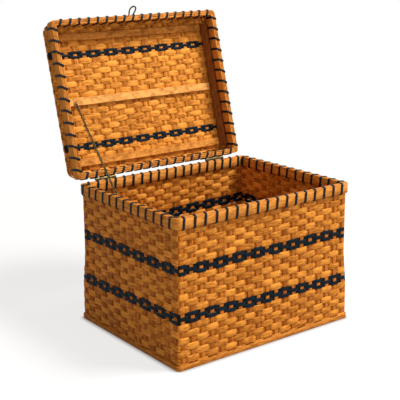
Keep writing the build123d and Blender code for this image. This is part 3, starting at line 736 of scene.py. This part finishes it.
def lid_stake(strips, stake):
    """One stake from the foot of the front wall over the lid to the foot of the back wall."""
    front = [-round_sign(n, stake) for n in range(3)]
    back = [-round_sign(n, 2 * STAKES + CROSSINGS - 1 - stake) for n in range(3)]
    middles = [(near + far) / 2 - LID_Y for _, near, far, _ in LID_ROWS]
    stops = [-FLAT_Y - run for run in ROUND_RUNS[::-1]] + middles + [FLAT_Y + run for run in ROUND_RUNS]
    signs = front[::-1] + [-row_sign(row[0], stake) for row in LID_ROWS] + back
    tone = random.uniform(0.3, 0.7)
    points, normals = [], []
    for run, off, _ in woven(stops, signs, 6, STAKE_SWING, TAIL):
        d, h, n = lid_profile(run, HALF_Y, FRONT_SWELL)
        points.append((LID_STAKE_XS[stake], d + LID_Y + n[0] * off, h + n[1] * off))
        normals.append((0, n[0], n[1]))
    strips.add(points, normals, [(1, 0, 0)] * len(points), STAKE_HALF_W, STAKE_HALF_T, tone)


def lid_round(strips, number):
    """One strip round the four walls of the lid."""
    run = ROUND_RUNS[number]
    half_x, height, (out, up) = lid_profile(FLAT_X + run, HALF_X, END_SWELL)
    half_y = lid_profile(FLAT_Y + run, HALF_Y, FRONT_SWELL)[0]
    corner = LID_CORNER + half_x - FLAT_X
    runs, total = plan_runs(LID_STAKE_XS, ROUND_YS, half_x, half_y, corner)
    tones = pick_tones(len(runs), 0.28, 0.55)
    points, normals, sides, shades, steps, half_w = [], [], [], [], 6, 5.7
    for index, here in enumerate(runs):
        after = runs[index + 1] if index + 1 < len(runs) else runs[0] + total
        for step in range(steps):
            t = step / steps
            (x, y), way = plan_point(here + (after - here) * t, half_x, half_y, corner)
            off = AMP * round_sign(number, index) * (1 - 2 * swing(t))
            normal = (way[0] * out, way[1] * out, up)
            points.append((x + normal[0] * off, y + LID_Y + normal[1] * off, height + up * off))
            normals.append(normal)
            sides.append((-way[0] * up, -way[1] * up, out))
            which = index if t < 0.5 else (index + 1) % len(runs)
            shades.append(crossing_tones_with_painted_shade(tones[which], off, AMP))
    strips.add(points, normals, sides, half_w, WEAVER_HALF_T, shades, closed=True)


for label, name, material, replaced in (
    ("cane", "lid_weavers", CANE, "lid_shell"),
    ("front_band", "lid_front_band_weavers", NAVY, "lid_front_band"),
    ("rear_band", "lid_rear_band_weavers", NAVY, "lid_rear_band"),
):
    strips = Strips(lid_point)
    for order, near, far, kind in LID_ROWS:
        if kind == label:
            lid_row(strips, order, near, far, 0.6)
    if label == "cane":
        for number in range(len(ROUND_RUNS)):
            lid_round(strips, number)
    strips.build(name, material, "lid", replaced)
stakes = Strips(lid_point)
for stake in range(STAKES):
    lid_stake(stakes, stake)
stakes.build("lid_stakes", LID_STAKE, "lid")


# Stay chain: the links of the CAD's two halves, drawn as rings of round wire
BOX_EYE, LID_EYE = (-208.4, 46.0, 293.0), lid_point(-176.0, 11.0, 32.4)
CHAIN_LINKS, LOWER_LINKS, CHAIN_SAG, EYE_TO_LINK = 50, 21, 2.5, 5.25
# Half length and half width of a link's middle line, its wire's radius and its points
LINK_L, LINK_W, LINK_R, LINK_MARKS = 3.6, 2.5, 0.9, 14


def chain_half(name, body, replaced, first, last):
    """Links first to last on the sagging line, each turned a quarter from the one before."""
    start, end = Vector(BOX_EYE), Vector(LID_EYE)
    span, way = (end - start).length, (end - start).normalized()
    pitch = (span - 2 * EYE_TO_LINK) / (CHAIN_LINKS - 1)
    links = Wires()
    for index in range(first, last):
        share = (EYE_TO_LINK + index * pitch) / span
        centre = start + way * (span * share) - Vector((0, 0, 4 * CHAIN_SAG * share * (1 - share)))
        ahead = (way - Vector((0, 0, 4 * CHAIN_SAG * (1 - 2 * share) / span))).normalized()
        across = (Vector((1, 0, 0)) - ahead * ahead.x).normalized()
        if index % 2:
            across = across.cross(ahead)
        points = []
        for k in range(LINK_MARKS):
            bend = 2 * pi * k / LINK_MARKS
            end_shift = (LINK_L - LINK_W) * (1 if cos(bend) > 0 else -1)
            points.append(centre + ahead * (end_shift + LINK_W * cos(bend)) + across * (LINK_W * sin(bend)))
        links.add(points, ahead.cross(across), LINK_R, True)
    links.build(name, BRASS, body, replaced)


chain_half("chain_lower_links", "chain_lower", "chain_lower", 0, LOWER_LINKS)
chain_half("chain_upper_links", "chain_upper", "chain_upper", LOWER_LINKS, CHAIN_LINKS)

# Lift loop: one wire through the lid's front rim, leaning to the right
LOOP_X, LOOP_LEG, LOOP_BOW, LOOP_REACH, LOOP_WIRE_R, LOOP_LEAN = -11.0, 5.5, 8.0, 13.0, 1.8, 0.6
half_loop = [(-LOOP_LEG - 6, -14.0), (-LOOP_LEG, -13.6), (-LOOP_LEG, -6.0), (-LOOP_LEG, 2.0)]
for k in range(-1, 6):
    bend = radians(15 * k)
    half_loop.append((-LOOP_BOW * cos(bend), LOOP_REACH + LOOP_BOW * sin(bend)))
outline = half_loop + [(0.0, LOOP_REACH + LOOP_BOW)] + [(-x, v) for x, v in reversed(half_loop)]
loop_points = []
for x, v in outline:
    lean = LOOP_LEAN * max(0.0, v)
    loop_points.append(Vector(lid_point(LOOP_X + x + lean, LID_Y - HALF_Y - v, HOOP_H / 2)))
lid_up = Vector(lid_point(0, 0, 1)) - Vector(lid_point(0, 0, 0))
loop = Wires()
loop.add(loop_points, lid_up, LOOP_WIRE_R, False)
loop.build("lift_loop_wire", LOOP_BRASS, "lid", "lift_loop")

# CAD pieces that keep their shape
FINISH = {
    "front_batten": RAIL, "rear_batten": RAIL, "middle_batten": BATTEN, "batten_end_block": BATTEN,
    "left_end_lath": LATH, "right_end_lath": LATH,
}
for name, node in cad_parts.items():
    if not node.hide_render:
        node.data.materials.clear()
        node.data.materials.append(FINISH.get(name, BRASS))


# Floor, lights and camera
# To the camera the floor shows a share of the lamps' light and a brightness of its own, dimmed
# at the object's foot as painted contact shadow, and it turns white farther out. Reaches are in metres.
SHADE_SHARE, BASE_SHARE, CONTACT_SHARE, CONTACT_REACH = 0.20, 0.76, 0.25, 0.012
SHADE_END, WHITE_START = 0.55, 1.5


def background_rays(nodes, links):
    """A socket that is 1 for the rays that show the background: camera, glossy and through."""
    path = nodes.new("ShaderNodeLightPath").outputs
    either = math_node(nodes, links, "MAXIMUM", path["Is Camera Ray"], path["Is Glossy Ray"])
    return math_node(nodes, links, "MAXIMUM", either, path["Is Transmission Ray"])


def ground_material():
    """A pale floor. The camera sees it near white, softly shaded under the object, and pure
    white farther out, where it meets the backdrop."""
    material, nodes, links, shader = blank_material("pale_ground", 0.9, 0.1)
    shader.inputs["Base Color"].default_value = (0.5, 0.45, 0.4, 1)
    lit = nodes.new("ShaderNodeBsdfDiffuse")
    lit.inputs["Color"].default_value = (SHADE_SHARE, SHADE_SHARE, SHADE_SHARE, 1)
    base, white = nodes.new("ShaderNodeEmission"), nodes.new("ShaderNodeEmission")
    # Painted contact shadow: ambient occlusion dims the floor's own glow at the object's foot
    contact, grip = nodes.new("ShaderNodeAmbientOcclusion"), nodes.new("ShaderNodeMapRange")
    contact.inputs["Distance"].default_value = CONTACT_REACH
    grip.inputs["From Min"].default_value = 0.5
    grip.inputs["To Min"].default_value = CONTACT_SHARE
    grip.inputs["To Max"].default_value = BASE_SHARE
    links.new(contact.outputs["AO"], grip.inputs["Value"])
    links.new(grip.outputs["Result"], base.inputs["Strength"])
    both = nodes.new("ShaderNodeAddShader")
    place, length, far = (nodes.new(kind) for kind in (
        "ShaderNodeNewGeometry", "ShaderNodeVectorMath", "ShaderNodeMapRange"))
    length.operation = "LENGTH"
    far.interpolation_type = "SMOOTHSTEP"
    far.inputs["From Min"].default_value = SHADE_END
    far.inputs["From Max"].default_value = WHITE_START
    near_far, seen = nodes.new("ShaderNodeMixShader"), nodes.new("ShaderNodeMixShader")
    links.new(place.outputs["Position"], length.inputs[0])
    links.new(length.outputs["Value"], far.inputs["Value"])
    links.new(lit.outputs[0], both.inputs[0])
    links.new(base.outputs[0], both.inputs[1])
    links.new(far.outputs["Result"], near_far.inputs["Fac"])
    links.new(both.outputs[0], near_far.inputs[1])
    links.new(white.outputs[0], near_far.inputs[2])
    links.new(background_rays(nodes, links), seen.inputs["Fac"])
    links.new(shader.outputs[0], seen.inputs[1])
    links.new(near_far.outputs[0], seen.inputs[2])
    links.new(seen.outputs[0], nodes["Material Output"].inputs["Surface"])
    return material


bpy.ops.mesh.primitive_plane_add(size=14)
ground = bpy.context.object
ground.name = "ground"
ground.data.materials.append(ground_material())

world = bpy.data.worlds.new("studio")
scene.world = world
world.use_nodes = True
wn, wl = world.node_tree.nodes, world.node_tree.links
sky, white, mixer = wn["Background"], wn.new("ShaderNodeBackground"), wn.new("ShaderNodeMixShader")
sky.inputs["Color"].default_value = (1.0, 0.88, 0.76, 1)
sky.inputs["Strength"].default_value = 0.30
white.inputs["Color"].default_value = (1, 1, 1, 1)
white.inputs["Strength"].default_value = 1.0
wl.new(background_rays(wn, wl), mixer.inputs["Fac"])
wl.new(sky.outputs["Background"], mixer.inputs[1])
wl.new(white.outputs["Background"], mixer.inputs[2])
wl.new(mixer.outputs["Shader"], wn["World Output"].inputs["Surface"])


def lamp(name, place, target, size, power, color=(1, 1, 1)):
    data = bpy.data.lights.new(name, "AREA")
    data.size = size
    data.energy = power
    data.color = color
    obj = bpy.data.objects.new(name, data)
    obj.location = place
    obj.rotation_euler = (Vector(target) - Vector(place)).to_track_quat("-Z", "Y").to_euler()
    scene.collection.objects.link(obj)


lamp("key", (1.66, -1.34, 3.62), (0, 0, 0.3), 1.3, 250, (1.0, 0.98, 0.94))
lamp("fill_front", (0.3, -3.3, 1.2), (0, 0, 0.3), 2.4, 22, (1.0, 0.92, 0.84))
lamp("fill_left", (-2.6, -2.0, 1.8), (0, 0, 0.3), 2.4, 12, (1.0, 0.84, 0.68))

camera_data = bpy.data.cameras.new("camera")
camera = bpy.data.objects.new("camera", camera_data)
scene.collection.objects.link(camera)
scene.camera = camera
AZ, EL, ROLL, DIST = radians(-36.17), radians(13.88), radians(-0.71), 1.9919
TARGET = Vector((-0.0881, 0, 0.3229))
FOCAL_PX, IMAGE_PX, SENSOR_MM = 969.5, 400, 36
back = Vector((sin(AZ) * cos(EL), -cos(AZ) * cos(EL), sin(EL)))
camera.location = TARGET + back * DIST
look = (-back).to_track_quat("-Z", "Y").to_matrix().to_4x4()
camera.matrix_world = Matrix.Translation(camera.location) @ look @ Matrix.Rotation(ROLL, 4, "Z")
camera_data.sensor_width = SENSOR_MM
camera_data.lens = FOCAL_PX / IMAGE_PX * SENSOR_MM
camera_data.shift_x, camera_data.shift_y = 0.05, -0.05
camera_data.clip_end = 50

scene.view_settings.view_transform = "Standard"
